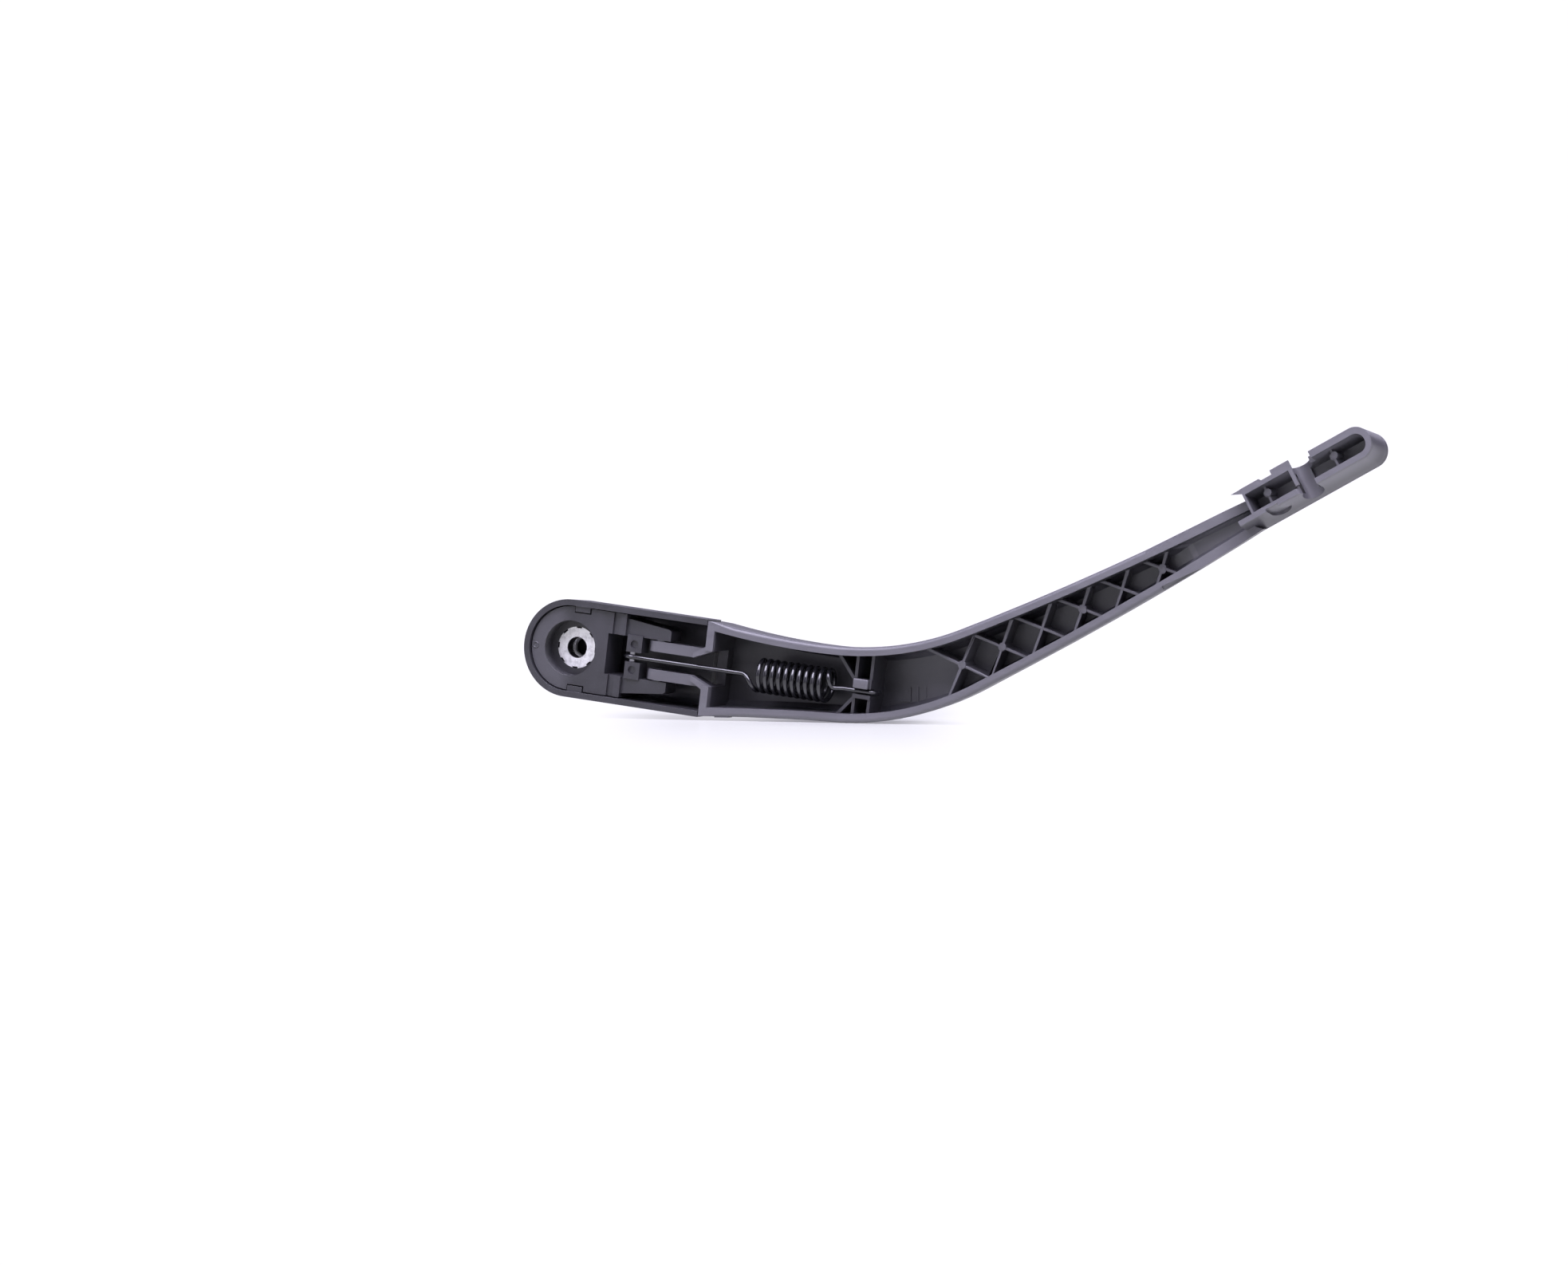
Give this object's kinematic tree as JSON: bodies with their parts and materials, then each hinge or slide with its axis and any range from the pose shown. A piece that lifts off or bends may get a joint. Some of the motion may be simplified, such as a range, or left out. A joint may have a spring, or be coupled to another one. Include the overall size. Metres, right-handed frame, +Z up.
{
  "type": "rear window wiper arm",
  "caption": "Curved plastic rear wiper arm with a spindle head under a round cover, a hinge, a tension spring and a hooked blade carrier.",
  "frame": {"origin": "the spindle axis at the glass side face of the hub insert", "axes": "X from the spindle toward the blade, Y from the glass side to the outer face, Z up when the arm stands on its long lower edge"},
  "size_m": [0.3456, 0.0285, 0.1123],
  "materials": {
    "plastic": "satin black, glass filled",
    "cast_metal": "bright rough cast",
    "pin_steel": "ground",
    "spring_wire": "gloss black coated wire"
  },
  "bodies": {
    "mounting_head": {"head": "plastic", "hub_insert": "cast_metal", "hinge_pins": "pin_steel", "spring_pin": "pin_steel"},
    "wiper_arm": {"arm": "plastic"},
    "spring": {"tension_spring": "spring_wire"},
    "cover": {"cover_cap": "plastic"}
  },
  "joints": [
    {"name": "arm_lift", "type": "hinge", "parent": "mounting_head", "child": "wiper_arm", "pos_m": [0.03524, -0.0017, -0.00433], "axis": [0.1219, 0, 0.9925], "range_deg": [0, 35]},
    {"name": "spring_turn", "type": "hinge", "parent": "mounting_head", "child": "spring", "pos_m": [0.02481, -0.0033, -0.00305], "axis": [0.1219, 0, 0.9925], "range_deg": [0, 31.5]},
    {"name": "cover_pull", "type": "slide", "parent": "mounting_head", "child": "cover", "axis": [-0.813, 0.5736, 0.0998], "range_m": [0, 0.06]}
  ],
  "couplings": [
    {"joint": "spring_turn", "follows": "arm_lift", "ratio": 0.897}
  ]
}
